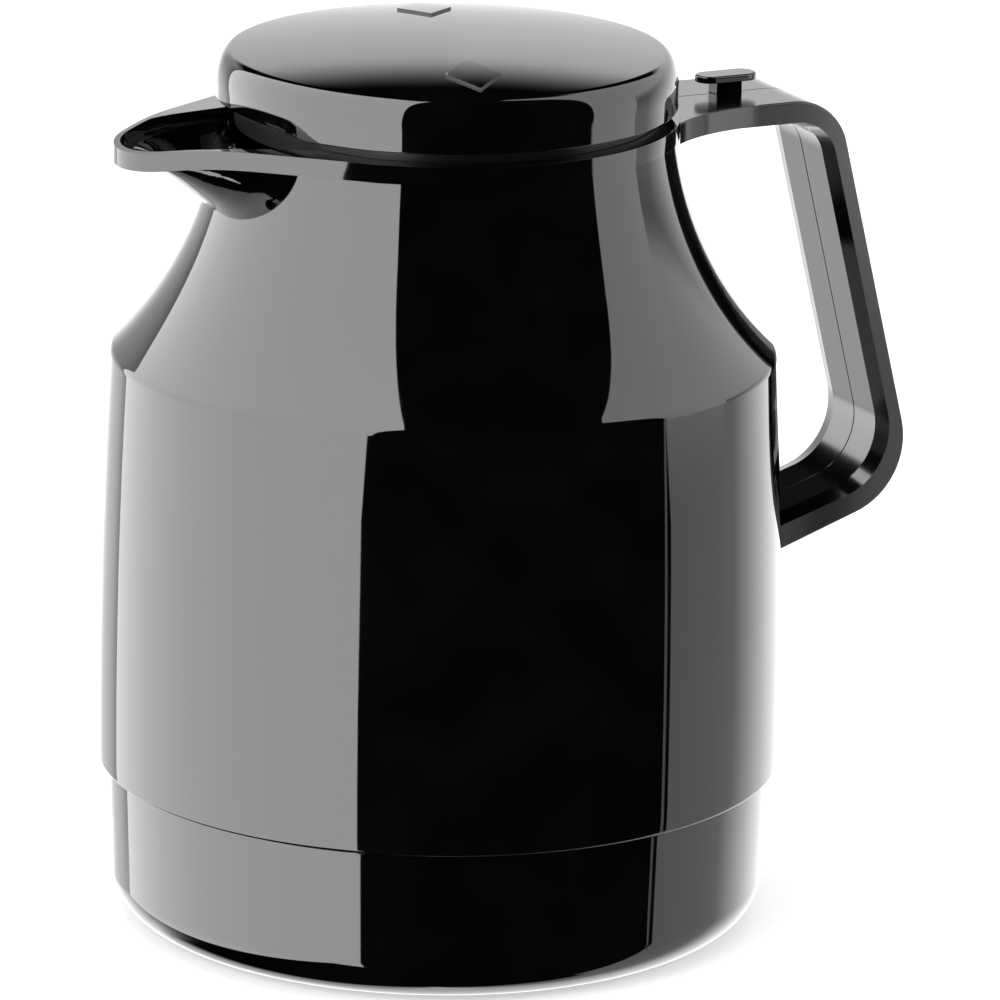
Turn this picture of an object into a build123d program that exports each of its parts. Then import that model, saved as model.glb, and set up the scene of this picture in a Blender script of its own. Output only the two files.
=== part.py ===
from build123d import *
import os
from math import asin, cos, degrees, radians, sin, sqrt, tan

os.makedirs("parts", exist_ok=True)

# Insulated pouring jug with a hinged lid, in millimetres.
# Z is up, the jug's axis is the Z axis and it stands on z = 0.
# The spout points along -X and the handle along +X.

# ---------------------------------------------------------------- driving dimensions

# Clearances
running_fit = 0.05        # radial, round a turning pin
pressed_fit = 0.02        # radial, where the pin or a screw is held
body_gap = 0.3            # between pieces that move past each other
seat_gap = 0.1            # between pieces that are clamped together

# Outer casing
seam_height = 34.6
casing_radius = 75.0
waist_inset = 0.4         # from the casing's radius to its waist
waist_height = 78.0
bow_top_inset = 2.5       # from the casing's radius to the top of its bow
bow_top_height = 129.0
shoulder_round = 2.5
neck_radius = 49.9
neck_height = 175.0
neck_arc_radius = 82.3
neck_arc_rise = 9.3
casing_wall = 2.2

# Base cup
cup_inset = 2.1
cup_draft = 1.2
cup_corner = 9.5
cup_wall = 2.2
foot_width = 8.0
foot_recess = 1.2
boss_radius = 20.0
spigot_height = 11.0
spigot_wall = 2.2

# Vacuum flask
flask_room = 6.4          # between flask and casing
glass = 1.6
vacuum = 3.0
flask_foot_height = 13.0
flask_foot_round = 26.0
flask_shoulder_height = 116.0
flask_shoulder_round = 24.0
flask_neck_length = 10.8
flask_root_round = 10.0
flask_neck_radius = 40.0
flask_lip_height = 156.8
pad_radius = 5.0
pad_height = 60.0
pad_count = 3
cushion_radius = 32.0
cushion_hole = 9.0
centring_depth = 5.0

# Collar with the spout
gasket_thickness = 1.6
gasket_overhang = 1.0
mouth_margin = 1.4        # collar bore beyond the flask's bore
seat_floor = 1.6
seat_width = 5.0
seat_rim = 2.0
bowl_rise = 9.0           # height of the bowl's cone
band_lip = 0.5            # band beyond the casing's neck
band_height = 4.0
band_wall = 4.0
skirt_depth = 10.0
nose_reach = 63.2
nose_radius = 14.1
rim_reaches = (34.0, 40.0, 46.0, 54.0, 60.0, 66.0, 70.0, 75.0, 80.0)
rim_rises = (0.0, 0.35, 0.62, 1.0, 1.15, 0.85, 0.35, -0.45, -1.3)
spout_wall = 1.4
spout_floor = 1.5
trough_nose_half = 11.2   # half width of the channel at the nose
trough_spread = 0.31      # gain of that half width per mm towards the lid
chin_top = 0.9            # widest level of the chin above the band's underside
chin_wall = 1.8
chin_reaches = (43.0, 50.0, 58.0, 65.0, 73.5)
chin_half_widths = (21.5, 20.2, 16.5, 12.5, 7.5)
chin_depths = (17.0, 16.0, 11.0, 5.6, 0.8)

# Lid
lid_gap = 2.6
lid_radius = 50.0
lid_side = 4.6
lid_shoulder_inset = 3.4
lid_shoulder_rise = 7.05
lid_shoulder_turn = 86.4  # degrees of the shoulder's ellipse
lid_height = 14.7
lid_wall = 2.0
arch_half_width = 23.5
arch_top_half_width = 15.0
arch_rise = 2.8
mark_offset = 32.7
mark_turn = 73.5
mark_length = 19.5
mark_width = 12.0
mark_rise = 0.5
plate_lift = 0.2
plate_thickness = 2.0
plinth_wall = 1.8
plinth_depth = 4.5
foam_inset = 5.0
foam_height = 6.3

# Stopper under the lid
stopper_radius = 34.0
stopper_wall = 1.8
stopper_neck = 31.6
stopper_bead = 0.4
stopper_toe = 29.0
stopper_depth = 7.5       # below the collar's seat
flange_radius = 37.0
flange_thickness = 1.5
seal_thickness = 1.5
seal_overhang = 0.5
rib_depth = 5.9
rib_wall = 1.8
stopper_foam_gap = 2.0

# Lid screws
lid_screw_count = 3
lid_screw_offset = 24.0
lid_screw_radius = 1.4
lid_screw_length = 7.0
lid_screw_head_radius = 2.5
lid_screw_head = 1.5
lid_boss_radius = 3.2

# Handle
handle_width = 28.6
handle_rise = 2.8         # handle's top above the collar's lower edge
top_arm = 4.8
belly_drop = 1.15
belly_bevel = 4.5
grip_thickness = 3.2
grip_lean = 13.9          # degrees off the vertical
grip_top_reach = 88.5
grip_foot_height = 87.5
foot_thickness = 5.7
foot_sink = 2.6           # foot's depth in the casing before it is trimmed
foot_outer_rise = 18.9    # degrees
foot_inner_rise = 17.4    # degrees
outer_top_round = 13.5
inner_top_round = 9.0
outer_foot_round = 17.0
inner_foot_round = 14.0
handle_edge = 0.5
flare_start = 69.0
flare_middle = 55.3
flare_middle_half = 17.1
flare_end = 44.7
flare_end_half = 23.3

# Handle screws
root_screw_offset = 12.0
root_screw_drop = 1.2     # below the handle's top
root_screw_radius = 1.0
root_screw_length = 11.5
root_screw_head_radius = 1.4
root_screw_head = 1.5
root_screw_sink = 1.9
foot_screw_offset = 6.0
foot_screw_height = 78.9
foot_screw_radius = 1.0
foot_screw_length = 8.2
foot_screw_head_radius = 2.2
foot_screw_head = 1.6

# Hinge at the handle's root
pin_radius = 1.0
knuckle_radius = 1.8
hinge_back = 0.6          # pin behind the band
hinge_drop = 2.1          # pin below the lid's edge
lid_lug_half = 2.0
ear_width = 1.2
pocket_half = 3.8
lug_width = 1.6
lug_arm = 2.0

# Rocker lever and thumb button
button_reach = 67.9
button_travel = 1.8
finger_thickness = 1.5
finger_reach = 3.0
crossbar_back = 1.6
crossbar_length = 2.4
leg_top_width = 0.8
crossbar_height = 2.0
tail_half = 2.4
tail_thickness = 1.3
tail_overrun = 1.0
top_skin = 1.0
belly_skin = 1.0
pocket_length = 3.2
channel_half = 3.5
channel_overrun = 4.5
cap_length = 14.4
cap_width = 6.5
cap_thickness = 1.5
cap_round = 0.5
cap_rise = 2.9            # cap's underside above the handle
stem_length = 6.2
stem_width = 4.0
nub_length = 2.0
leg_length = 1.8
barb_reach = 0.9
barb_height = 1.1
slot_gap = 0.2
spring_thickness = 0.3
spring_length = 7.0
spring_half = 1.5

# ---------------------------------------------------------------- worked-out places

lean = tan(radians(grip_lean))
outer_rise = tan(radians(foot_outer_rise))
inner_rise = tan(radians(foot_inner_rise))
half_handle = handle_width / 2

waist_radius = casing_radius - waist_inset
bow_top_radius = casing_radius - bow_top_inset
neck_arc_height = neck_height + neck_arc_rise
neck_arc_reach = neck_radius + sqrt(neck_arc_radius**2 - neck_arc_rise**2)
shoulder_span = neck_arc_radius**2 - (neck_arc_reach - bow_top_radius) ** 2
shoulder_height = neck_arc_height - sqrt(shoulder_span)

cup_radius = casing_radius - cup_inset
cup_top = seam_height - body_gap
cup_floor = foot_recess + cup_wall
spigot_top = cup_top + spigot_height
spigot_radius = casing_radius - casing_wall - seat_gap
spigot_bore = spigot_radius - spigot_wall

flask_radius = casing_radius - casing_wall - flask_room
flask_root_height = flask_lip_height - flask_neck_length
inner_glass_inset = glass + vacuum
bore_radius = flask_neck_radius - inner_glass_inset - glass

band_bottom = neck_height + seat_gap
band_top = band_bottom + band_height
handle_top = band_bottom + handle_rise
band_radius = neck_radius + band_lip
bowl_radius = band_radius - band_wall
skirt_radius = neck_radius - casing_wall - seat_gap
mouth_radius = bore_radius + mouth_margin
seat_bottom = flask_lip_height + gasket_thickness
seat_top = seat_bottom + seat_floor
seat_radius = mouth_radius + seat_width

lid_edge = band_top + lid_gap
lid_side_top = lid_edge + lid_side
lid_top = lid_edge + lid_height
plate_bottom = lid_edge + plate_lift
plate_top = plate_bottom + plate_thickness
plate_radius = lid_radius - lid_wall - body_gap
plinth_radius = bowl_radius - seat_gap - body_gap
boss_bottom = plate_top + seat_gap
boss_top = lid_top - 0.85 * lid_wall

seal_bottom = seat_top + body_gap
seal_top = seal_bottom + seal_thickness
flange_top = seal_top + flange_thickness
stopper_bottom = seat_top - stopper_depth
stopper_top = plate_bottom - seat_gap
rib_radius = stopper_radius - stopper_wall - seat_gap

hinge_x = band_radius + hinge_back
hinge_z = lid_edge - hinge_drop
ear_start = lid_lug_half + body_gap
ear_end = ear_start + ear_width
lug_end = pocket_half + lug_width
lug_start = band_radius + 2 * seat_gap

belly_bottom = handle_top - top_arm - belly_drop
room_top = handle_top - top_skin
room_bottom = belly_bottom + belly_skin
button_foot = room_top - slot_gap
tail_top = button_foot - body_gap
tail_bottom = tail_top - tail_thickness
tail_end = button_reach + tail_overrun
crossbar_start = hinge_x + crossbar_back
crossbar_end = crossbar_start + crossbar_length
pocket_end = band_radius + pocket_length
channel_end = button_reach + channel_overrun
finger_top = lid_edge - body_gap
cap_bottom = handle_top + cap_rise
cap_top = cap_bottom + cap_thickness
stem_start = button_reach - stem_length / 2
stem_end = button_reach + stem_length / 2
leg_start = stem_end - leg_length
leg_foot = room_bottom + button_travel + body_gap
root_screw_z = handle_top - root_screw_drop
root_head_seat = bowl_radius - root_screw_sink + root_screw_head + 0.6

spread = asin((band_radius - nose_radius) / nose_reach)


# ---------------------------------------------------------------- shared shapes

def block(x_limits, y_limits, z_limits, mode=Mode.ADD):
    """Box between the given limits, in the part being built."""
    spans = (x_limits, y_limits, z_limits)
    middle = tuple((low + high) / 2 for low, high in spans)
    lengths = [high - low for low, high in spans]
    with Locations(middle):
        Box(*lengths, mode=mode)


def rod_x(start, end, y, z, radius, mode=Mode.ADD):
    """Cylinder along X, in the part being built."""
    with BuildSketch(Plane(origin=(start, y, z), x_dir=(0, 1, 0), z_dir=(1, 0, 0))) as disc:
        Circle(radius)
    extrude(disc.sketch, amount=end - start, mode=mode)


def casing_region(inset):
    """Half section of the casing's outside, moved inwards by inset."""
    with BuildSketch(Plane.XZ) as region:
        with BuildLine():
            wall = ThreePointArc(
                (casing_radius - inset, seam_height),
                (waist_radius - inset, waist_height),
                (bow_top_radius - inset, bow_top_height),
            )
            side = Line(wall @ 1, (bow_top_radius - inset, neck_height))
            top = Line(side @ 1, (0, neck_height))
            axis = Line(top @ 1, (0, seam_height))
            Line(axis @ 1, wall @ 0)
        make_face()
        with Locations((neck_arc_reach, neck_arc_height)):
            Circle(neck_arc_radius + inset, mode=Mode.SUBTRACT)
    return region.sketch


def flask_region(inset):
    """Half section of the flask up to its lip, moved inwards by inset."""
    radius = flask_radius - inset
    neck = flask_neck_radius - inset
    foot = flask_foot_height + inset
    with BuildSketch(Plane.XZ) as region:
        with BuildLine():
            Polyline(
                (0, foot),
                (radius, foot),
                (radius, flask_shoulder_height),
                (neck, flask_root_height),
                (neck, flask_lip_height),
                (0, flask_lip_height),
                close=True,
            )
        make_face()
        corners = region.vertices()
        foot_corner = corners.sort_by_distance((radius, foot))[0]
        shoulder = corners.sort_by_distance((radius, flask_shoulder_height))[0]
        root = corners.sort_by_distance((neck, flask_root_height))[0]
        fillet(foot_corner, flask_foot_round - inset)
        fillet(shoulder, flask_shoulder_round - inset)
        fillet(root, flask_root_round + inset)
    return region.sketch


def spout_outline(inset):
    """Plan of the spout: a round nose and straight sides to the band."""
    nose = nose_radius - inset
    band = band_radius - inset
    nose_x = -nose_reach - nose * sin(spread)
    nose_y = nose * cos(spread)
    band_x = -band * sin(spread)
    band_y = band * cos(spread)
    with BuildSketch() as outline:
        with Locations((-nose_reach, 0)):
            Circle(nose)
        with BuildLine():
            Polyline(
                (nose_x, nose_y),
                (band_x, band_y),
                (0, 0),
                (band_x, -band_y),
                (nose_x, -nose_y),
                close=True,
            )
        make_face()
    return outline.sketch


def spout_side(low, high):
    """Side view of the spout between two levels above the band's underside."""
    places = list(zip(rim_reaches, rim_rises))
    lower_points = [(-reach, band_bottom + low + rise) for reach, rise in places]
    upper_points = [(-reach, band_bottom + high + rise) for reach, rise in places]
    with BuildSketch(Plane.XZ) as side_view:
        with BuildLine():
            lower = Spline(*lower_points)
            upper = Spline(*upper_points)
            Line(lower @ 1, upper @ 1)
            Polyline(upper @ 0, (0, upper_points[0][1]), (0, lower_points[0][1]), lower @ 0)
        make_face()
    return side_view.sketch


def chin_bowl(inset):
    """Bowl under the spout, moved inwards by inset."""
    level = band_bottom + chin_top + inset
    with BuildPart() as bowl:
        for reach, half_width, depth in zip(chin_reaches, chin_half_widths, chin_depths):
            section = Plane(origin=(-reach, 0, level), x_dir=(0, 1, 0), z_dir=(-1, 0, 0))
            with BuildSketch(section):
                Ellipse(half_width - inset, depth)
        loft()
    return bowl.part


def lid_region(inset):
    """Half section of the lid's dome, moved inwards by inset."""
    side = lid_radius - inset
    bend_x = lid_radius - lid_shoulder_inset
    bend_width = lid_shoulder_inset - inset
    bend_height = lid_shoulder_rise - inset
    crown_x = bend_x + bend_width * cos(radians(lid_shoulder_turn))
    crown_z = lid_side_top + bend_height * sin(radians(lid_shoulder_turn))
    crown_drop = lid_top - inset - crown_z
    crown_radius = (crown_x**2 + crown_drop**2) / (2 * crown_drop)
    middle_z = lid_top - inset - crown_radius + sqrt(crown_radius**2 - crown_x**2 / 4)
    with BuildSketch(Plane.XZ) as region:
        with BuildLine():
            wall = Line((side, lid_edge), (side, lid_side_top))
            shoulder = EllipticalCenterArc(
                (bend_x, lid_side_top),
                bend_width,
                bend_height,
                start_angle=0,
                arc_size=lid_shoulder_turn,
            )
            crown = ThreePointArc(
                shoulder @ 1, (crown_x / 2, middle_z), (0, lid_top - inset)
            )
            axis = Line(crown @ 1, (0, lid_edge))
            Line(axis @ 1, wall @ 0)
        make_face()
    return region.sketch


casing_space = revolve(casing_region(-seat_gap), Axis.Z)
chin_space = chin_bowl(-seat_gap)
chin_outside = chin_bowl(0)
chin_inside = chin_bowl(chin_wall)
lid_turns = [360 * number / lid_screw_count for number in range(lid_screw_count)]

# ---------------------------------------------------------------- base and casing

with BuildPart() as base_cup:
    with BuildSketch(Plane.XZ) as cup_face:
        with BuildLine():
            Polyline(
                (0, 0),
                (cup_radius - cup_draft, 0),
                (cup_radius, cup_top),
                (spigot_radius, cup_top),
                (spigot_radius, spigot_top),
                (0, spigot_top),
                close=True,
            )
        make_face()
        toe = cup_face.vertices().sort_by_distance((cup_radius - cup_draft, 0))[0]
        fillet(toe, cup_corner)
    revolve(axis=Axis.Z)
    with BuildSketch(Plane.XZ) as cup_room:
        with BuildLine():
            Polyline(
                (0, cup_floor),
                (cup_radius - cup_draft - cup_wall, cup_floor),
                (spigot_bore, cup_top),
                (spigot_bore, spigot_top),
                (0, spigot_top),
                close=True,
            )
        make_face()
        heel_place = (cup_radius - cup_draft - cup_wall, cup_floor)
        heel = cup_room.vertices().sort_by_distance(heel_place)[0]
        fillet(heel, cup_corner - cup_wall)
    revolve(axis=Axis.Z, mode=Mode.SUBTRACT)
    with BuildSketch():
        Circle(cup_radius - cup_draft - cup_corner - foot_width)
        Circle(boss_radius, mode=Mode.SUBTRACT)
    extrude(amount=foot_recess, mode=Mode.SUBTRACT)
base_cup.part.label = "base_cup"
export_step(base_cup.part, "parts/base_cup.step")

with BuildPart() as body_shell:
    with BuildSketch(Plane.XZ) as shell_face:
        add(casing_region(0))
        shoulder_place = (bow_top_radius, shoulder_height)
        shoulder = shell_face.vertices().sort_by_distance(shoulder_place)[0]
        fillet(shoulder, shoulder_round)
        add(casing_region(casing_wall), mode=Mode.SUBTRACT)
    revolve(axis=Axis.Z)
    add(chin_space, mode=Mode.SUBTRACT)
    for side in (-1, 1):
        screw_y = side * foot_screw_offset
        hole = foot_screw_radius + seat_gap
        wall_start = waist_radius - 3 * casing_wall
        wall_end = waist_radius + 2 * casing_wall
        rod_x(wall_start, wall_end, screw_y, foot_screw_height, hole, Mode.SUBTRACT)
body_shell.part.label = "body_shell"
export_step(body_shell.part, "parts/body_shell.step")

# ---------------------------------------------------------------- vacuum flask and its supports

with BuildPart() as flask_outer:
    with BuildSketch(Plane.XZ):
        add(flask_region(0))
        add(flask_region(glass), mode=Mode.SUBTRACT)
        with Locations((0, flask_lip_height)):
            Rectangle(2 * flask_radius, 2 * glass, mode=Mode.SUBTRACT)
    revolve(axis=Axis.Z)
flask_outer.part.label = "flask_outer"
export_step(flask_outer.part, "parts/flask_outer.step")

with BuildPart() as flask_inner:
    with BuildSketch(Plane.XZ):
        add(flask_region(inner_glass_inset))
        with Locations((flask_neck_radius / 2, flask_lip_height - glass / 2)):
            Rectangle(flask_neck_radius, glass)
        add(flask_region(inner_glass_inset + glass), mode=Mode.SUBTRACT)
    revolve(axis=Axis.Z)
flask_inner.part.label = "flask_inner"
export_step(flask_inner.part, "parts/flask_inner.step")

with BuildPart() as pad_cores:
    for number in range(pad_count):
        turn = 360 * number / pad_count
        ray = (cos(radians(turn)), sin(radians(turn)), 0)
        with BuildSketch(Plane(origin=(0, 0, pad_height), z_dir=ray)):
            Circle(pad_radius)
        extrude(amount=flask_radius)

with BuildPart() as flask_spacers:
    with BuildSketch():
        Circle(flask_radius - glass)
        Circle(flask_radius - inner_glass_inset, mode=Mode.SUBTRACT)
    extrude(amount=2 * pad_height)
    add(pad_cores.part, mode=Mode.INTERSECT)
flask_spacers.part.label = "flask_spacers"
export_step(flask_spacers.part, "parts/flask_spacers.step")

with BuildPart() as base_cushion:
    with BuildSketch(Plane.XY.offset(cup_floor)):
        Circle(cushion_radius)
        Circle(cushion_hole, mode=Mode.SUBTRACT)
    extrude(amount=flask_foot_height - cup_floor)
base_cushion.part.label = "base_cushion"
export_step(base_cushion.part, "parts/base_cushion.step")

with BuildPart() as centring_ring:
    with BuildSketch(Plane.XY.offset(spigot_top - centring_depth)):
        Circle(spigot_bore)
        Circle(flask_radius, mode=Mode.SUBTRACT)
    extrude(amount=centring_depth)
centring_ring.part.label = "centring_ring"
export_step(centring_ring.part, "parts/centring_ring.step")

with BuildPart() as neck_gasket:
    with BuildSketch(Plane.XY.offset(flask_lip_height)):
        Circle(flask_neck_radius + gasket_overhang)
        Circle(mouth_radius, mode=Mode.SUBTRACT)
    extrude(amount=gasket_thickness)
neck_gasket.part.label = "neck_gasket"
export_step(neck_gasket.part, "parts/neck_gasket.step")

# ---------------------------------------------------------------- collar with the spout

with BuildPart() as spout_plate:
    with BuildSketch(Plane.XY.offset(band_bottom - band_height)):
        add(spout_outline(0))
    extrude(amount=3 * band_height)
    plate_side = spout_side(0, band_height)
    extrude(plate_side, amount=band_radius, both=True, mode=Mode.INTERSECT)

with BuildPart() as trough_space:
    with BuildSketch(Plane.XY.offset(band_bottom)):
        add(spout_outline(spout_wall))
        trough_reach = nose_reach + nose_radius
        trough_root_half = trough_nose_half + trough_spread * trough_reach
        with BuildLine():
            Polyline(
                (-trough_reach, -trough_nose_half),
                (0, -trough_root_half),
                (0, trough_root_half),
                (-trough_reach, trough_nose_half),
                close=True,
            )
        make_face(mode=Mode.INTERSECT)
    extrude(amount=2 * band_height)
    room_side = spout_side(spout_floor, 2 * band_height)
    extrude(room_side, amount=band_radius, both=True, mode=Mode.INTERSECT)

with BuildPart() as collar:
    with BuildSketch(Plane.XZ):
        with BuildLine():
            Polyline(
                (0, seat_bottom),
                (seat_radius + seat_rim, seat_bottom),
                (skirt_radius, band_bottom - skirt_depth),
                (skirt_radius, band_bottom),
                (band_radius, band_bottom),
                (band_radius, band_top),
                (0, band_top),
                close=True,
            )
        make_face()
    revolve(axis=Axis.Z)
    add(chin_outside)
    with BuildSketch(Plane.XY.offset(band_bottom + band_height / 2)):
        Rectangle(4 * band_radius, 4 * band_radius)
        Circle(band_radius, mode=Mode.SUBTRACT)
    extrude(amount=2 * chin_depths[0], mode=Mode.SUBTRACT)
    with BuildSketch(Plane.XY.offset(band_top)):
        Rectangle(4 * band_radius, 4 * band_radius)
    extrude(amount=2 * chin_depths[0], mode=Mode.SUBTRACT)
    add(spout_plate.part)
    with BuildSketch(Plane.XZ):
        with BuildLine():
            Polyline(
                (0, seat_bottom),
                (mouth_radius, seat_bottom),
                (mouth_radius, seat_top),
                (seat_radius, seat_top),
                (bowl_radius, seat_top + bowl_rise),
                (bowl_radius, band_top + band_height),
                (0, band_top + band_height),
                close=True,
            )
        make_face()
    revolve(axis=Axis.Z, mode=Mode.SUBTRACT)
    add(trough_space.part, mode=Mode.SUBTRACT)
    add(chin_inside, mode=Mode.SUBTRACT)
    lug_room = lug_end + body_gap
    notch_x = (hinge_x - knuckle_radius - body_gap, band_radius + 1)
    notch_z = (hinge_z - knuckle_radius - body_gap, band_top + 1)
    block(notch_x, (-lug_room, lug_room), notch_z, Mode.SUBTRACT)
    for side in (-1, 1):
        screw_y = side * root_screw_offset
        hole = root_screw_radius + seat_gap
        sink = root_screw_head_radius + seat_gap
        rod_x(seat_radius, casing_radius, screw_y, root_screw_z, hole, Mode.SUBTRACT)
        rod_x(seat_radius, root_head_seat, screw_y, root_screw_z, sink, Mode.SUBTRACT)
collar.part.label = "collar"
export_step(collar.part, "parts/collar.step")

# ---------------------------------------------------------------- handle

foot_x = waist_radius - foot_sink
grip_foot_x = grip_top_reach + lean * (handle_top - grip_foot_height)
foot_outer_z = grip_foot_height - outer_rise * (grip_foot_x - foot_x)
foot_inner_z = foot_outer_z + foot_thickness + belly_drop / cos(radians(foot_inner_rise))
grip_depth = (grip_thickness + belly_drop) / cos(radians(grip_lean))
grip_line = grip_top_reach + lean * handle_top - grip_depth
inner_foot_x = grip_line - lean * (foot_inner_z - inner_rise * foot_x)
inner_foot_x = inner_foot_x / (1 + lean * inner_rise)
inner_foot_z = foot_inner_z + inner_rise * (inner_foot_x - foot_x)
inner_top_x = grip_line - lean * belly_bottom
root_x = band_radius - 5

with BuildPart() as handle_blank:
    with BuildSketch(Plane.XZ) as strap_face:
        with BuildLine():
            Polyline(
                (root_x, handle_top),
                (grip_top_reach, handle_top),
                (grip_foot_x, grip_foot_height),
                (foot_x, foot_outer_z),
                (foot_x, foot_inner_z),
                (inner_foot_x, inner_foot_z),
                (inner_top_x, belly_bottom),
                (root_x, belly_bottom),
                close=True,
            )
        make_face()
        bends = (
            (grip_top_reach, handle_top, outer_top_round),
            (grip_foot_x, grip_foot_height, outer_foot_round),
            (inner_foot_x, inner_foot_z, inner_foot_round),
            (inner_top_x, belly_bottom, inner_top_round),
        )
        for bend_x, bend_z, bend_round in bends:
            bend = strap_face.vertices().sort_by_distance((bend_x, bend_z))[0]
            fillet(bend, bend_round)
    extrude(amount=half_handle, both=True)
    grip_middle = (handle_top + grip_foot_height) / 2
    grip_middle_x = grip_top_reach + lean * (handle_top - grip_middle)
    inner_places = (
        (button_reach, belly_bottom),
        (inner_top_x - 2, belly_bottom - 2),
        (grip_middle_x - grip_depth, grip_middle),
        (inner_foot_x - 2, inner_foot_z + 2),
        ((foot_x + inner_foot_x) / 2, (foot_inner_z + inner_foot_z) / 2),
    )
    outer_places = (
        (button_reach, handle_top),
        (grip_top_reach - 1, handle_top - 3),
        (grip_middle_x, grip_middle),
        (grip_foot_x - 3, grip_foot_height + 3),
        ((foot_x + grip_foot_x) / 2, (foot_outer_z + grip_foot_height) / 2),
    )
    for side in (-1, 1):
        side_face = handle_blank.faces().sort_by(Axis.Y)[0 if side < 0 else -1]
        side_edges = side_face.edges()
        inner_edges = [
            side_edges.sort_by_distance((x, side * half_handle, z))[0] for x, z in inner_places
        ]
        chamfer(inner_edges, length=belly_drop, length2=belly_bevel, reference=side_face)
        side_face = handle_blank.faces().sort_by(Axis.Y)[0 if side < 0 else -1]
        side_edges = side_face.edges()
        outer_edges = [
            side_edges.sort_by_distance((x, side * half_handle, z))[0] for x, z in outer_places
        ]
        fillet(outer_edges, handle_edge)
    with BuildSketch(Plane.XY.offset(handle_top - top_arm)):
        with BuildLine():
            near = ThreePointArc(
                (flare_start, -half_handle),
                (flare_middle, -flare_middle_half),
                (flare_end, -flare_end_half),
            )
            root = Line(near @ 1, (flare_end, flare_end_half))
            far = ThreePointArc(
                root @ 1, (flare_middle, flare_middle_half), (flare_start, half_handle)
            )
            Line(far @ 1, near @ 0)
        make_face()
    extrude(amount=top_arm)
    with BuildSketch(Plane.XY.offset(band_bottom - 2 * skirt_depth)):
        Circle(band_radius + seat_gap)
    extrude(amount=3 * skirt_depth, mode=Mode.SUBTRACT)
    add(casing_space, mode=Mode.SUBTRACT)
    for side in (-1, 1):
        lug_middle = side * (pocket_half + lug_end) / 2
        with BuildSketch(Plane.XZ.offset(-lug_middle)):
            with Locations((hinge_x, hinge_z)):
                Circle(knuckle_radius)
            with BuildLine():
                Polyline(
                    (lug_start, room_top),
                    (hinge_x + knuckle_radius, room_top),
                    (hinge_x + knuckle_radius, hinge_z),
                    (lug_start, hinge_z),
                    close=True,
                )
            make_face()
        extrude(amount=lug_width / 2, both=True)
    pocket = (-pocket_half, pocket_half)
    block((root_x, pocket_end), pocket, (room_bottom, hinge_z), Mode.SUBTRACT)
    block((root_x, crossbar_end + 1), pocket, (room_bottom, room_top), Mode.SUBTRACT)
    channel = (-channel_half, channel_half)
    block((root_x, channel_end), channel, (room_bottom, room_top), Mode.SUBTRACT)
    slot_x = (stem_start - slot_gap, stem_end + slot_gap)
    slot_y = (-stem_width / 2 - slot_gap, stem_width / 2 + slot_gap)
    block(slot_x, slot_y, (room_bottom, handle_top + 1), Mode.SUBTRACT)
    with BuildSketch(Plane.XZ):
        with Locations((hinge_x, hinge_z)):
            Circle(pin_radius + pressed_fit)
    extrude(amount=handle_width, both=True, mode=Mode.SUBTRACT)
    for side in (-1, 1):
        screw_y = side * root_screw_offset
        hole = root_screw_radius + pressed_fit
        end = root_head_seat + root_screw_length + seat_gap
        rod_x(root_x, end, screw_y, root_screw_z, hole, Mode.SUBTRACT)
        screw_y = side * foot_screw_offset
        hole = foot_screw_radius + pressed_fit
        end = foot_x + foot_screw_length + seat_gap
        rod_x(foot_x - 5, end, screw_y, foot_screw_height, hole, Mode.SUBTRACT)

with BuildPart() as handle_left:
    add(handle_blank.part)
    reach = 2 * grip_foot_x
    left_side = (-seat_gap / 2, handle_width * 2)
    block((0, reach), left_side, (0, 2 * handle_top), Mode.SUBTRACT)
handle_left.part.label = "handle_left"
export_step(handle_left.part, "parts/handle_left.step")

with BuildPart() as handle_right:
    add(handle_blank.part)
    right_side = (-handle_width * 2, seat_gap / 2)
    block((0, reach), right_side, (0, 2 * handle_top), Mode.SUBTRACT)
handle_right.part.label = "handle_right"
export_step(handle_right.part, "parts/handle_right.step")

with BuildPart() as handle_root_screws:
    for side in (-1, 1):
        screw_y = side * root_screw_offset
        head_start = root_head_seat - root_screw_head
        tip = root_head_seat + root_screw_length
        rod_x(head_start, root_head_seat, screw_y, root_screw_z, root_screw_head_radius)
        rod_x(head_start, tip, screw_y, root_screw_z, root_screw_radius)
handle_root_screws.part.label = "handle_root_screws"
export_step(handle_root_screws.part, "parts/handle_root_screws.step")

foot_seat_y = foot_screw_offset + foot_screw_head_radius
foot_seat_radius = waist_radius - casing_wall - seat_gap
foot_seat = sqrt(foot_seat_radius**2 - foot_seat_y**2)
with BuildPart() as handle_foot_screws:
    for side in (-1, 1):
        screw_y = side * foot_screw_offset
        head_start = foot_seat - foot_screw_head
        tip = foot_x + foot_screw_length
        rod_x(head_start, foot_seat, screw_y, foot_screw_height, foot_screw_head_radius)
        rod_x(head_start, tip, screw_y, foot_screw_height, foot_screw_radius)
handle_foot_screws.part.label = "handle_foot_screws"
export_step(handle_foot_screws.part, "parts/handle_foot_screws.step")

# ---------------------------------------------------------------- hinge, rocker and button

with BuildPart() as hinge_pin:
    with BuildSketch(Plane.XZ):
        with Locations((hinge_x, hinge_z)):
            Circle(pin_radius)
    extrude(amount=lug_end - seat_gap, both=True)
hinge_pin.part.label = "hinge_pin"
export_step(hinge_pin.part, "parts/hinge_pin.step")

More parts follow.
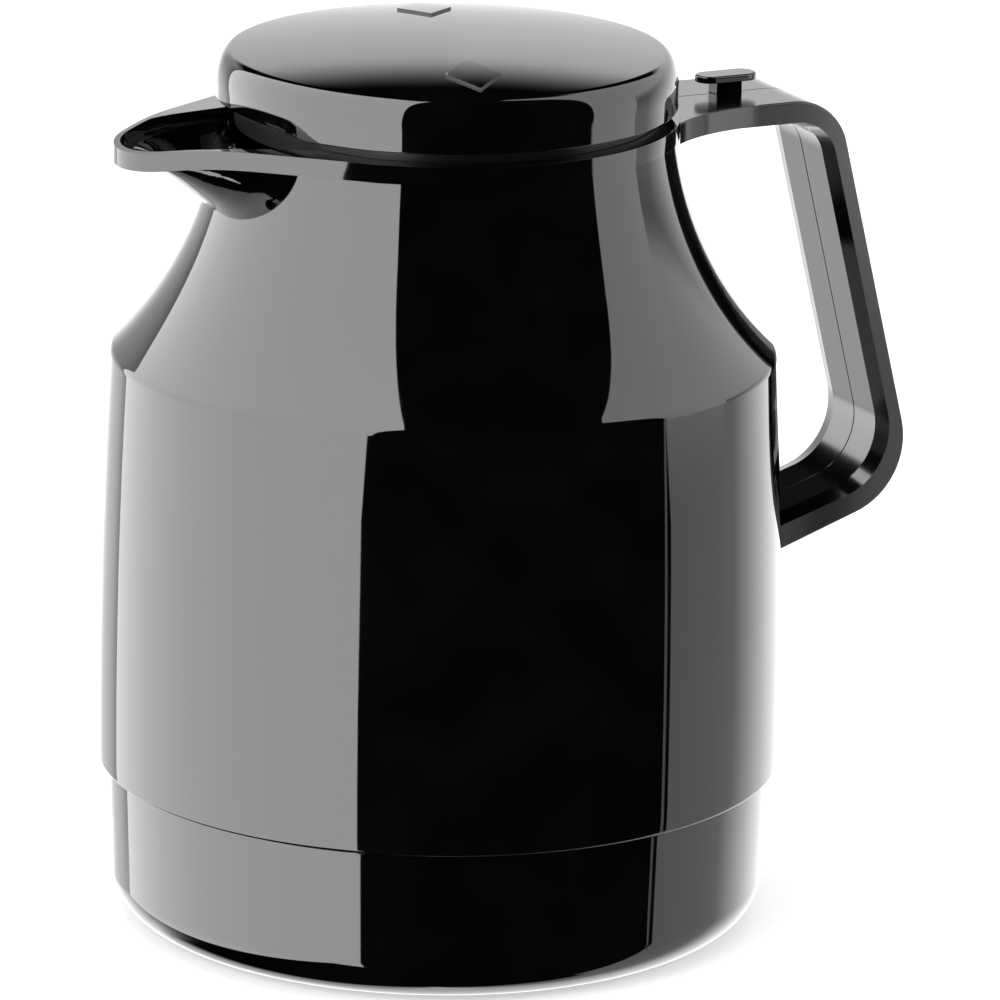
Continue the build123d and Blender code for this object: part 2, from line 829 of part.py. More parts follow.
with BuildPart() as rocker_lever:
    for side in (-1, 1):
        ear_middle = side * (ear_start + ear_end) / 2
        with BuildSketch(Plane.XZ.offset(-ear_middle)):
            with Locations((hinge_x, hinge_z)):
                Circle(knuckle_radius)
            with BuildLine():
                Polyline(
                    (hinge_x - finger_reach, finger_top),
                    (hinge_x - finger_reach, finger_top - finger_thickness),
                    (hinge_x, finger_top - finger_thickness),
                    (hinge_x, finger_top),
                    close=True,
                )
            make_face()
            with BuildLine():
                Polyline(
                    (hinge_x, hinge_z - knuckle_radius),
                    (crossbar_start, tail_top - crossbar_height),
                    (crossbar_end, tail_top - crossbar_height),
                    (crossbar_end, tail_top),
                    (crossbar_start + leg_top_width, tail_top),
                    (hinge_x + 0.7 * knuckle_radius, hinge_z + 0.7 * knuckle_radius),
                    close=True,
                )
            make_face()
        extrude(amount=ear_width / 2, both=True)
    crossbar = (tail_top - crossbar_height, tail_top)
    block((crossbar_start, crossbar_end), (-ear_end, ear_end), crossbar)
    block((crossbar_start, tail_end), (-tail_half, tail_half), (tail_bottom, tail_top))
    with BuildSketch(Plane.XZ):
        with Locations((hinge_x, hinge_z)):
            Circle(pin_radius + running_fit)
    extrude(amount=handle_width, both=True, mode=Mode.SUBTRACT)
rocker_lever.part.label = "rocker_lever"
export_step(rocker_lever.part, "parts/rocker_lever.step")

with BuildPart() as thumb_button:
    with BuildSketch(Plane.XY.offset(cap_bottom)):
        with Locations((button_reach, 0)):
            SlotOverall(cap_length, cap_width)
    extrude(amount=cap_thickness)
    fillet(thumb_button.edges().group_by(Axis.Z)[-1], cap_round)
    stem_y = (-stem_width / 2, stem_width / 2)
    nub_x = (button_reach - nub_length / 2, button_reach + nub_length / 2)
    block((stem_start, stem_end), stem_y, (room_top, cap_bottom))
    block(nub_x, stem_y, (button_foot, room_top))
    block((leg_start, stem_end), stem_y, (leg_foot, room_top))
    barb_top = room_top - body_gap
    with BuildSketch(Plane.XZ):
        with BuildLine():
            Polyline(
                (stem_end, barb_top - barb_height),
                (stem_end + barb_reach, barb_top - barb_height / 2),
                (stem_end + barb_reach, barb_top),
                (stem_end, barb_top),
                close=True,
            )
        make_face()
    extrude(amount=stem_width / 2, both=True)
thumb_button.part.label = "thumb_button"
export_step(thumb_button.part, "parts/thumb_button.step")

spring_start = crossbar_end + body_gap
spring_end = spring_start + spring_length
spring_base = room_bottom + seat_gap
spring_peak = tail_bottom - body_gap
with BuildPart() as return_spring:
    with BuildSketch(Plane.XZ):
        with BuildLine():
            Polyline(
                (spring_start, spring_base),
                (spring_end, spring_base),
                (spring_end, spring_base + spring_thickness),
                (spring_start + 2 * spring_thickness, spring_base + spring_thickness),
                (spring_end, spring_peak - spring_thickness),
                (spring_end, spring_peak),
                (spring_start, spring_base + spring_thickness),
                close=True,
            )
        make_face()
    extrude(amount=spring_half, both=True)
return_spring.part.label = "return_spring"
export_step(return_spring.part, "parts/return_spring.step")

# ---------------------------------------------------------------- lid

lid_mark_dome = revolve(lid_region(-mark_rise), Axis.Z)

with BuildPart() as lid_marks:
    for turn in (mark_turn, mark_turn + 180):
        with BuildSketch(Plane.XY.offset(lid_side_top).rotated((0, 0, turn))):
            with BuildLine():
                Polyline(
                    (mark_offset - mark_length / 2, 0),
                    (mark_offset, mark_width / 2),
                    (mark_offset + mark_length / 2, 0),
                    (mark_offset, -mark_width / 2),
                    close=True,
                )
            make_face()
        extrude(amount=lid_height)
    add(lid_mark_dome, mode=Mode.INTERSECT)

with BuildPart() as lid_cap:
    with BuildSketch(Plane.XZ):
        add(lid_region(0))
    revolve(axis=Axis.Z)
    add(lid_marks.part)
    with BuildSketch(Plane.XZ):
        add(lid_region(lid_wall))
    revolve(axis=Axis.Z, mode=Mode.SUBTRACT)
    arch = Plane(origin=(-lid_radius - 1, 0, lid_edge), x_dir=(0, 1, 0), z_dir=(1, 0, 0))
    with BuildSketch(arch):
        with BuildLine():
            Polyline(
                (-arch_half_width, 0),
                (-arch_top_half_width, arch_rise),
                (arch_top_half_width, arch_rise),
                (arch_half_width, 0),
                close=True,
            )
        make_face()
    extrude(amount=lid_radius / 4, mode=Mode.SUBTRACT)
    for turn in lid_turns:
        with BuildSketch(Plane.XY.offset(boss_bottom).rotated((0, 0, turn))):
            with Locations((lid_screw_offset, 0)):
                Circle(lid_boss_radius)
        extrude(amount=boss_top - boss_bottom)
        with BuildSketch(Plane.XY.offset(boss_bottom).rotated((0, 0, turn))):
            with Locations((lid_screw_offset, 0)):
                Circle(lid_screw_radius + pressed_fit)
        extrude(amount=lid_screw_length - plate_thickness, mode=Mode.SUBTRACT)
lid_cap.part.label = "lid_cap"
export_step(lid_cap.part, "parts/lid_cap.step")

with BuildPart() as lid_base:
    with BuildSketch(Plane.XY.offset(plate_bottom)):
        Circle(plate_radius)
    extrude(amount=plate_thickness)
    with BuildSketch(Plane.XY.offset(plate_bottom - plinth_depth)):
        Circle(plinth_radius)
        Circle(plinth_radius - plinth_wall, mode=Mode.SUBTRACT)
    extrude(amount=plinth_depth)
    with BuildSketch(Plane.XY.offset(plate_bottom - rib_depth)):
        Circle(rib_radius)
        Circle(rib_radius - rib_wall, mode=Mode.SUBTRACT)
    extrude(amount=rib_depth)
    arm_top = hinge_z + knuckle_radius
    lug_y = (-lid_lug_half, lid_lug_half)
    block((plinth_radius - plinth_wall, hinge_x), lug_y, (arm_top - lug_arm, arm_top))
    block((plinth_radius - plinth_wall, plate_radius - 0.5), lug_y, (arm_top - lug_arm, plate_top))
    with BuildSketch(Plane.XZ):
        with Locations((hinge_x, hinge_z)):
            Circle(knuckle_radius)
    extrude(amount=lid_lug_half, both=True)
    with BuildSketch(Plane.XZ):
        with Locations((hinge_x, hinge_z)):
            Circle(pin_radius + running_fit)
    extrude(amount=handle_width, both=True, mode=Mode.SUBTRACT)
    for turn in lid_turns:
        with BuildSketch(Plane.XY.offset(plate_bottom).rotated((0, 0, turn))):
            with Locations((lid_screw_offset, 0)):
                Circle(lid_screw_radius + seat_gap)
        extrude(amount=plate_thickness, mode=Mode.SUBTRACT)
lid_base.part.label = "lid_base"
export_step(lid_base.part, "parts/lid_base.step")

with BuildPart() as lid_foam:
    with BuildSketch(Plane.XY.offset(plate_top + seat_gap)) as foam_face:
        Circle(lid_radius - lid_wall - foam_inset)
        with PolarLocations(lid_screw_offset, lid_screw_count):
            Circle(lid_boss_radius + body_gap, mode=Mode.SUBTRACT)
    extrude(amount=foam_height)
lid_foam.part.label = "lid_foam"
export_step(lid_foam.part, "parts/lid_foam.step")

with BuildPart() as stopper_cup:
    with BuildSketch(Plane.XZ):
        with BuildLine():
            Polyline(
                (0, stopper_bottom),
                (stopper_toe, stopper_bottom),
                (stopper_neck + stopper_bead, seal_bottom - 1.6),
                (stopper_neck + stopper_bead, seal_bottom - seat_gap),
                (stopper_neck, seal_bottom - seat_gap),
                (stopper_neck, seal_top),
                (flange_radius, seal_top),
                (flange_radius, flange_top),
                (stopper_radius, flange_top),
                (stopper_radius, stopper_top),
                (stopper_radius - stopper_wall, stopper_top),
                (stopper_radius - stopper_wall, flange_top),
                (stopper_neck - stopper_wall, seal_top),
                (stopper_neck - stopper_wall, seal_bottom - 1.6),
                (stopper_toe - stopper_wall, stopper_bottom + stopper_wall),
                (0, stopper_bottom + stopper_wall),
                close=True,
            )
        make_face()
    revolve(axis=Axis.Z)
stopper_cup.part.label = "stopper_cup"
export_step(stopper_cup.part, "parts/stopper_cup.step")

foam_top = plate_bottom - stopper_foam_gap
foam_radius = rib_radius - rib_wall - seat_gap
with BuildPart() as stopper_foam:
    with BuildSketch(Plane.XZ):
        with BuildLine():
            Polyline(
                (0, stopper_bottom + stopper_wall + seat_gap),
                (stopper_toe - stopper_wall - 0.5, stopper_bottom + stopper_wall + seat_gap),
                (stopper_neck - stopper_wall - 0.5, seal_bottom - 1.6),
                (stopper_neck - stopper_wall - 0.5, flange_top),
                (foam_radius, flange_top),
                (foam_radius, foam_top),
                (0, foam_top),
                close=True,
            )
        make_face()
    revolve(axis=Axis.Z)
stopper_foam.part.label = "stopper_foam"
export_step(stopper_foam.part, "parts/stopper_foam.step")

with BuildPart() as stopper_seal:
    with BuildSketch(Plane.XY.offset(seal_bottom)):
        Circle(flange_radius + seal_overhang)
        Circle(stopper_neck + pressed_fit, mode=Mode.SUBTRACT)
    extrude(amount=seal_thickness)
stopper_seal.part.label = "stopper_seal"
export_step(stopper_seal.part, "parts/stopper_seal.step")

with BuildPart() as lid_screws:
    with BuildSketch(Plane.XY.offset(plate_bottom - lid_screw_head)):
        with PolarLocations(lid_screw_offset, lid_screw_count):
            Circle(lid_screw_head_radius)
    extrude(amount=lid_screw_head)
    with BuildSketch(Plane.XY.offset(plate_bottom)):
        with PolarLocations(lid_screw_offset, lid_screw_count):
            Circle(lid_screw_radius)
    extrude(amount=lid_screw_length)
lid_screws.part.label = "lid_screws"
export_step(lid_screws.part, "parts/lid_screws.step")
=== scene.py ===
"""Insulated pouring jug with a hinged lid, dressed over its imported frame."""
from math import asin, atan2, cos, pi, radians, sin, sqrt, tan

import bpy
from mathutils import Matrix, Vector


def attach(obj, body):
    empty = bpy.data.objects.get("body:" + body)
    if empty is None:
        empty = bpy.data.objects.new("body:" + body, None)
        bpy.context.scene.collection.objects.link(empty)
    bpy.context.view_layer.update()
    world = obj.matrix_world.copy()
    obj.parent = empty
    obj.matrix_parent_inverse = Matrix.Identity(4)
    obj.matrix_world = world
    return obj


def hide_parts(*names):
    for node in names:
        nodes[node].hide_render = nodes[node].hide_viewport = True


MM = 0.001
MERGE = 0.002 * MM
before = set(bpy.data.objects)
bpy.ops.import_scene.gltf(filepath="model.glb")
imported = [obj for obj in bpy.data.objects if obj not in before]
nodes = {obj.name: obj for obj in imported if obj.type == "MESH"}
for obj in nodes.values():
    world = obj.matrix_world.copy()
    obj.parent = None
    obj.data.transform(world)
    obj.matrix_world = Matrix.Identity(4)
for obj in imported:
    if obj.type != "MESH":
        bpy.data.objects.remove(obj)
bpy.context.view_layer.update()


# ---------------------------------------------------------------- shader tools

class Wire:
    """A node's output socket; sums with it add Math nodes."""

    def __init__(self, finish, socket):
        self.finish = finish
        self.socket = socket

    def sum(self, operation, *values):
        return self.finish.node("ShaderNodeMath", {"operation": operation}, dict(enumerate(values)))

    def __add__(self, other):
        return self.sum("ADD", self, other)

    __radd__ = __add__

    def __mul__(self, other):
        return self.sum("MULTIPLY", self, other)

    __rmul__ = __mul__

    def __sub__(self, other):
        return self.sum("SUBTRACT", self, other)

    def __rsub__(self, other):
        return self.sum("SUBTRACT", other, self)


class Finish:
    """A node tree being wired for a material or the world."""

    def __init__(self, tree):
        self.tree = tree
        self.tree.nodes.clear()

    def node(self, kind, settings=None, inputs=None, output=0):
        made = self.tree.nodes.new(kind)
        for name, value in (settings or {}).items():
            if name == "stops":
                ramp = made.color_ramp
                while len(ramp.elements) < len(value):
                    ramp.elements.new(0.5)
                for element, (place, tone) in zip(ramp.elements, value):
                    element.position = place
                    element.color = tone
            else:
                setattr(made, name, value)
        for name, value in (inputs or {}).items():
            socket = made.inputs[name]
            if isinstance(value, Wire):
                self.tree.links.new(value.socket, socket)
            else:
                socket.default_value = value
        return Wire(self, made.outputs[output])

    def step(self, value, low, high):
        """0 below low, 1 above high, smooth between."""
        settings = {"interpolation_type": "SMOOTHSTEP"}
        return self.node("ShaderNodeMapRange", settings, {0: value, 1: low, 2: high, 3: 0.0, 4: 1.0})

    def place(self):
        return self.node("ShaderNodeTexCoord", output="Object")

    def noise(self, scale, detail=2.0, roughness=0.5, vector=None):
        inputs = {"Scale": scale, "Detail": detail, "Roughness": roughness}
        inputs["Vector"] = self.place() if vector is None else vector
        return self.node("ShaderNodeTexNoise", None, inputs)

    def stretched(self, x, y, z):
        inputs = {"Vector": self.place(), "Scale": (x, y, z)}
        return self.node("ShaderNodeMapping", None, inputs)

    def tone(self, mask, first, second):
        settings = {"data_type": "RGBA"}
        inputs = {0: mask, 6: first, 7: second}
        return self.node("ShaderNodeMix", settings, inputs, output=2)

    def relief(self, height, strength, distance):
        inputs = {"Height": height, "Strength": strength, "Distance": distance}
        return self.node("ShaderNodeBump", None, inputs)

    def light_path(self, question):
        return self.node("ShaderNodeLightPath", output=question)

    def end(self, surface, kind="ShaderNodeOutputMaterial"):
        """Makes the surface the tree's output."""
        last = self.tree.nodes.new(kind)
        self.tree.links.new(surface.socket, last.inputs["Surface"])


def new_finish(name):
    material = bpy.data.materials.new(name)
    material.use_nodes = True
    return material, Finish(material.node_tree)


def close_finish(finish, **sockets):
    """Principled surface from named sockets, as the material's output."""
    inputs = {key.replace("_", " "): value for key, value in sockets.items()}
    finish.end(finish.node("ShaderNodeBsdfPrincipled", None, inputs))


# ---------------------------------------------------------------- finishes

def gloss_black(name, waviness=1.0, roughness=0.022):
    """Polished black moulding: deep gloss, faint sink waves and hairlines."""
    material, finish = new_finish(name)
    waves = finish.noise(28.0, 2.0, 0.45)
    haze = finish.step(finish.noise(55.0, 3.0, 0.6), 0.35, 0.75)
    hairs = finish.noise(900.0, 2.0, 0.5, finish.stretched(1.0, 1.0, 0.04))
    hairlines = finish.step(hairs, 0.66, 0.72)
    dark = (0.0010, 0.0010, 0.0011, 1.0)
    worn = (0.0022, 0.0022, 0.0024, 1.0)
    close_finish(
        finish,
        Base_Color=finish.tone(haze, dark, worn),
        Roughness=roughness + haze * 0.014 + hairlines * 0.02,
        IOR=1.9,
        Normal=finish.relief(waves, 0.02 * waviness, 0.002),
    )
    return material


def satin_black(name, dark, light, roughness):
    """Satin moulding: black with a fine spark-eroded grain and handled patches."""
    material, finish = new_finish(name)
    grain = finish.noise(2600.0, 3.0, 0.6)
    patches = finish.noise(90.0, 3.0, 0.6)
    dark_tone = (dark, dark, dark * 1.04, 1.0)
    light_tone = (light, light, light * 1.03, 1.0)
    close_finish(
        finish,
        Base_Color=finish.tone(patches, dark_tone, light_tone),
        Roughness=roughness + patches * 0.1,
        Normal=finish.relief(grain, 0.12, 0.0002),
    )
    return material


def silvered(name):
    """Silvered flask glass with slow drawn waves and thin spots."""
    material, finish = new_finish(name)
    drawn = finish.noise(22.0, 3.0, 0.5, finish.stretched(1.0, 1.0, 2.5))
    spots = finish.step(finish.noise(160.0, 4.0, 0.6), 0.68, 0.78)
    close_finish(
        finish,
        Base_Color=finish.tone(spots, (0.86, 0.87, 0.88, 1.0), (0.62, 0.6, 0.56, 1.0)),
        Metallic=1.0 - spots * 0.2,
        Roughness=0.05 + spots * 0.12,
        Normal=finish.relief(drawn, 0.15, 0.001),
    )
    return material


def soft_rubber(name, light, dark):
    """Moulded rubber: matte with a powdery bloom."""
    material, finish = new_finish(name)
    bloom = finish.step(finish.noise(140.0, 4.0, 0.65), 0.4, 0.7)
    skin = finish.noise(1500.0, 3.0, 0.6)
    close_finish(
        finish,
        Base_Color=finish.tone(bloom, dark, light),
        Roughness=0.62 + bloom * 0.2,
        Normal=finish.relief(skin, 0.2, 0.0003),
    )
    return material


def cell_foam(name):
    """Cut foam with open cells."""
    material, finish = new_finish(name)
    cells = finish.node("ShaderNodeTexVoronoi", None, {"Vector": finish.place(), "Scale": 900.0})
    shade = finish.noise(60.0, 3.0, 0.6)
    close_finish(
        finish,
        Base_Color=finish.tone(shade, (0.84, 0.8, 0.68, 1.0), (0.74, 0.68, 0.53, 1.0)),
        Roughness=0.95,
        Normal=finish.relief(cells, 0.6, 0.0008),
    )
    return material


def turned_steel(name):
    """Stainless pins and screws with fine drawing lines."""
    material, finish = new_finish(name)
    lines = finish.noise(1800.0, 2.0, 0.6, finish.stretched(1.0, 0.03, 1.0))
    close_finish(
        finish,
        Base_Color=finish.tone(lines, (0.5, 0.5, 0.51, 1.0), (0.68, 0.68, 0.67, 1.0)),
        Metallic=1.0,
        Roughness=0.24 + lines * 0.16,
        Normal=finish.relief(lines, 0.1, 0.0001),
    )
    return material


casing_gloss = gloss_black("casing_gloss")
handle_gloss = gloss_black("handle_gloss", 1.6, 0.13)
inner_satin = satin_black("inner_satin", 0.008, 0.014, 0.28)
flask_silver = silvered("flask_silver")
seal_rubber = soft_rubber("seal_rubber", (0.34, 0.34, 0.33, 1.0), (0.22, 0.22, 0.215, 1.0))
filling_foam = cell_foam("filling_foam")
screw_steel = turned_steel("screw_steel")

node_finishes = {
    "body_shell": casing_gloss,
    "base_cup": casing_gloss,
    "collar": casing_gloss,
    "lid_cap": casing_gloss,
    "handle_left": handle_gloss,
    "handle_right": handle_gloss,
    "thumb_button": handle_gloss,
    "lid_base": inner_satin,
    "rocker_lever": inner_satin,
    "stopper_cup": inner_satin,
    "flask_outer": flask_silver,
    "flask_inner": flask_silver,
    "neck_gasket": seal_rubber,
    "stopper_seal": seal_rubber,
    "base_cushion": seal_rubber,
    "centring_ring": seal_rubber,
    "lid_foam": filling_foam,
    "stopper_foam": filling_foam,
    "flask_spacers": filling_foam,
    "handle_root_screws": screw_steel,
    "handle_foot_screws": screw_steel,
    "lid_screws": screw_steel,
    "hinge_pin": screw_steel,
    "return_spring": screw_steel,
}
for node_name, node_material in node_finishes.items():
    for material_slot in nodes[node_name].material_slots:
        material_slot.link = "OBJECT"
        material_slot.material = node_material


# ---------------------------------------------------------------- workshop

def put_down():
    """Leaves edit mode with nothing selected."""
    if bpy.context.mode != "OBJECT":
        bpy.ops.object.mode_set(mode="OBJECT")
    bpy.ops.object.select_all(action="DESELECT")


def take(piece):
    put_down()
    piece.select_set(True)
    bpy.context.view_layer.objects.active = piece


def drawn(name, points):
    """A new piece of one open line through the points, left in edit mode and all selected."""
    put_down()
    bpy.ops.mesh.primitive_plane_add(size=MM, location=(0.0, 0.0, 0.0))
    piece = bpy.context.object
    piece.name = name
    bpy.ops.object.mode_set(mode="EDIT")
    bpy.ops.mesh.select_mode(type="VERT")
    bpy.ops.mesh.select_all(action="SELECT")
    bpy.ops.mesh.merge(type="CENTER")
    here = Vector(points[0]) * MM
    bpy.ops.transform.translate(value=here)
    for point in points[1:]:
        there = Vector(point) * MM
        bpy.ops.mesh.extrude_vertices_move(TRANSFORM_OT_translate={"value": there - here})
        here = there
    bpy.ops.mesh.select_all(action="SELECT")
    return piece


def tidied():
    """Merges doubles and turns the faces outwards, in edit mode."""
    bpy.ops.mesh.select_all(action="SELECT")
    bpy.ops.mesh.remove_doubles(threshold=MERGE)
    bpy.ops.mesh.normals_make_consistent(inside=False)


def turned(name, outline, steps):
    """A piece turned on the jug's axis from (radius, height) points."""
    piece = drawn(name, [(radius, 0.0, height) for radius, height in outline])
    bpy.ops.mesh.spin(steps=steps, angle=2 * pi, center=(0.0, 0.0, 0.0), axis=(0.0, 0.0, 1.0))
    tidied()
    put_down()
    return piece


def slab(name, outline, rise):
    """A piece with a closed outline, thickened by the vector rise."""
    piece = drawn(name, outline)
    bpy.ops.mesh.edge_face_add()
    bpy.ops.mesh.extrude_region_move(TRANSFORM_OT_translate={"value": Vector(rise) * MM})
    tidied()
    put_down()
    return piece


def use_modifier(piece, kind, **settings):
    take(piece)
    modifier = piece.modifiers.new(kind.lower(), kind)
    for name, value in settings.items():
        setattr(modifier, name, value)
    bpy.ops.object.modifier_apply(modifier=modifier.name)


def cut(piece, tool, operation="DIFFERENCE"):
    use_modifier(piece, "BOOLEAN", object=tool, operation=operation, solver="EXACT")
    bpy.data.objects.remove(tool)


def soften(piece, width, segments=3, angle=30.0):
    """Rounds the edges that are sharper than angle."""
    use_modifier(
        piece,
        "BEVEL",
        width=width * MM,
        segments=segments,
        limit_method="ANGLE",
        angle_limit=radians(angle),
    )


def arc(centre, radius, start, end, steps):
    """Points on a circle in the section plane, from one angle in degrees to another."""
    points = []
    for number in range(steps + 1):
        angle = radians(start + (end - start) * number / steps)
        points.append((centre[0] + radius * cos(angle), centre[1] + radius * sin(angle)))
    return points


def angle_of(centre, point):
    return atan2(point[1] - centre[1], point[0] - centre[0]) * 180.0 / pi


def crossing(centre_a, radius_a, centre_b, radius_b, height):
    """Where two circles in the section plane cross, of the two places the one nearer to height."""
    between = Vector(centre_b) - Vector(centre_a)
    far = between.length
    part = (radius_a**2 - radius_b**2 + far**2) / (2 * far)
    across = sqrt(radius_a**2 - part**2)
    along_line = between / far
    middle = Vector(centre_a) + along_line * part
    both = [middle + Vector((-along_line.y, along_line.x)) * across * side for side in (-1, 1)]
    return min(both, key=lambda place: abs(place.y - height))


def bend(before, corner, after, radius, steps):
    """Points of a rounded corner in the section plane, in the order of the line."""
    corner = Vector(corner)
    back = (Vector(before) - corner).normalized()
    ahead = (Vector(after) - corner).normalized()
    half = back.angle(ahead) / 2
    centre = corner + (back + ahead).normalized() * radius / sin(half)
    first = corner + back * radius / tan(half) - centre
    last = corner + ahead * radius / tan(half) - centre
    sweep = first.angle(last)
    points = []
    for number in range(steps + 1):
        part = sweep * number / steps
        points.append(centre + (first * sin(sweep - part) + last * sin(part)) / sin(sweep))
    return points


def line_through(corners, radii, steps):
    """A line through the corners, with each inner corner rounded."""
    points = [Vector(corners[0])]
    for number, radius in enumerate(radii):
        points += bend(corners[number], corners[number + 1], corners[number + 2], radius, steps)
    points.append(Vector(corners[-1]))
    return points


def moved_line(line, inset):
    """The line moved to its right-hand side."""
    moved = []
    for number, point in enumerate(line):
        ahead = line[min(number + 1, len(line) - 1)] - line[max(number - 1, 0)]
        ahead.normalize()
        moved.append(point + Vector((ahead.y, -ahead.x)) * inset)
    return moved


def start_picking(piece, kind):
    """Nothing picked in the piece's mesh, ready to pick parts of one kind in object mode."""
    take(piece)
    bpy.ops.object.mode_set(mode="EDIT")
    bpy.ops.mesh.select_mode(type=kind)
    bpy.ops.mesh.select_all(action="DESELECT")
    bpy.ops.object.mode_set(mode="OBJECT")


def pick_levels(piece, low, high):
    """Edit mode with the vertices picked whose y lies between low and high."""
    start_picking(piece, "VERT")
    for vertex in piece.data.vertices:
        vertex.select = low - MERGE / 2 < vertex.co.y < high + MERGE / 2
    bpy.ops.object.mode_set(mode="EDIT")


def finished(piece, body, material, replaced, angle=32.0):
    """Gives a piece its shading, finish and body."""
    take(piece)
    bpy.ops.object.shade_smooth_by_angle(angle=radians(angle))
    use_modifier(piece, "WEIGHTED_NORMAL", keep_sharp=True)
    piece.data.materials.clear()
    piece.data.materials.append(material)
    put_down()
    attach(piece, body)
    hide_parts(*replaced)


def refined(node_name, piece_name, width):
    """A copy of a node with its flat facets joined and its edges rounded."""
    source = nodes[node_name]
    piece = source.copy()
    piece.data = source.data.copy()
    piece.name = piece_name
    piece.parent = None
    piece.matrix_world = Matrix.Identity(4)
    bpy.context.scene.collection.objects.link(piece)
    take(piece)
    bpy.ops.object.mode_set(mode="EDIT")
    bpy.ops.mesh.select_all(action="SELECT")
    bpy.ops.mesh.remove_doubles(threshold=MERGE)
    bpy.ops.mesh.dissolve_limited(angle_limit=radians(0.4))
    put_down()
    soften(piece, width)
    return piece


# ---------------------------------------------------------------- casing

bow_centre = (-1403.662, 42.674)
bow_radius = 1478.684
neck_centre = (131.671, 184.3)
neck_radius = 82.3
wall = 2.2
shoulder_round = 2.5
shoulder_height = 127.0
hem_radius = 75.0
hem_low = 34.6
hem_round = 0.8
rim_height = 175.0
rim_radius = 49.9
rim_inside = 47.75

shoulder_centre = crossing(
    bow_centre,
    bow_radius - shoulder_round,
    neck_centre,
    neck_radius + shoulder_round,
    shoulder_height,
)
inner_corner = crossing(
    bow_centre, bow_radius - wall, neck_centre, neck_radius + wall, shoulder_height
)
shoulder_low = angle_of(bow_centre, shoulder_centre)
shoulder_high = angle_of(neck_centre, shoulder_centre)
neck_start = shoulder_high % 360
neck_end = angle_of(neck_centre, (rim_radius, rim_height)) % 360

hem_centre = (hem_radius - hem_round, hem_low + hem_round)
hem_inside = (73.2, hem_low)
casing_outline = [hem_inside, (hem_centre[0], hem_low)]
casing_outline += arc(hem_centre, hem_round, -90.0, 0.0, 5)[1:]
bow_start = angle_of(bow_centre, (hem_radius, hem_centre[1]))
casing_outline += arc(bow_centre, bow_radius, bow_start, shoulder_low, 36)[1:]
casing_outline += arc(shoulder_centre, shoulder_round, shoulder_low, neck_start - 180.0, 14)[1:]
casing_outline += arc(neck_centre, neck_radius, neck_start, neck_end, 44)[1:]
casing_outline.append((rim_inside, rim_height))
inner_end = angle_of(neck_centre, (rim_inside, rim_height)) % 360
inner_start = angle_of(neck_centre, inner_corner) % 360
casing_outline += arc(neck_centre, neck_radius + wall, inner_end, inner_start, 30)[1:]
inner_bow = angle_of(bow_centre, inner_corner)
inner_foot = angle_of(bow_centre, (72.8, 34.8))
casing_outline += arc(bow_centre, bow_radius - wall, inner_bow, inner_foot, 20)[1:]
casing_outline.append(hem_inside)
casing = turned("casing", casing_outline, 180)
finished(casing, "jug", casing_gloss, ["body_shell"])

# ---------------------------------------------------------------- base cup

pad_radius = 20.0
ring_inside = 54.2
recess = 1.2
foot_round = 9.5
lip_round = 0.5
side_lean = -2.0
collar_low = 34.3
collar_high = 45.3
floor_top = 3.4

cup_outline = [(0.0, 0.0), (pad_radius, 0.0), (pad_radius, recess)]
cup_outline += [(ring_inside, recess), (ring_inside, 0.0)]
cup_outline += arc((62.527, foot_round), foot_round, -90.0, side_lean, 18)
cup_outline += arc((72.3, collar_low - lip_round), lip_round, side_lean, 90.0, 5)
cup_outline += [(72.6, collar_low), (72.6, collar_high), (70.6, collar_high)]
cup_outline += [(70.5, collar_low), (69.3, 8.0)]
cup_outline += arc((63.6, floor_top + 7.3), 7.3, -40.0, -90.0, 8)
cup_outline.append((0.0, floor_top))
cup = turned("cup", cup_outline, 180)
finished(cup, "jug", casing_gloss, ["base_cup"])

# ---------------------------------------------------------------- lid

lid_radius = 50.0
lid_low = 181.7
lid_top = 196.4
lid_wall = 2.0
lid_steps = 24
rim_bend = (46.6, 186.3)
rim_bend_size = (3.4, 7.05)
rim_bend_end = 86.4


def dome(inset):
    """(radius, height) points of the lid's outside from its side to the middle, moved in."""
    middle, height = rim_bend
    bend_width = rim_bend_size[0] - inset
    bend_height = rim_bend_size[1] - inset
    crown_x = middle + bend_width * cos(radians(rim_bend_end))
    crown_z = height + bend_height * sin(radians(rim_bend_end))
    drop = lid_top - inset - crown_z
    crown_radius = (crown_x**2 + drop**2) / (2 * drop)
    points = []
    for number in range(lid_steps + 1):
        angle = radians(rim_bend_end * number / lid_steps)
        points.append((middle + bend_width * cos(angle), height + bend_height * sin(angle)))
    for number in range(1, lid_steps + 1):
        radius = crown_x * (1.0 - number / lid_steps)
        rise = sqrt(crown_radius**2 - radius**2)
        points.append((radius, lid_top - inset - crown_radius + rise))
    return points


lid_outline = [(lid_radius, lid_low)] + dome(0.0) + dome(lid_wall)[::-1]
lid_outline += [(lid_radius - lid_wall, lid_low), (lid_radius, lid_low)]
lid_shell = turned("lid_shell", lid_outline, 168)

# The lower edge's shallow arch over the spout.
arch_x = -51.0
arch_depth = 12.5
arch_half = [(-24.0, 181.0), (-22.8, lid_low), (-16.0, 183.0), (-6.0, 183.4)]
arch_outline = [(arch_x, y, z) for y, z in arch_half]
arch_outline += [(arch_x, -y, z) for y, z in arch_half[::-1]]
cut(lid_shell, slab("arch", arch_outline, (arch_depth, 0.0, 0.0)))
soften(lid_shell, 0.35, 3, 35.0)

# Hollow screw bosses under the dome.
boss_count = 3
boss_ring = 24.0
boss_middle = 189.3
boss_radius = 3.2
boss_height = 10.4
boss_wall = 1.75
bore_depth = 5.0

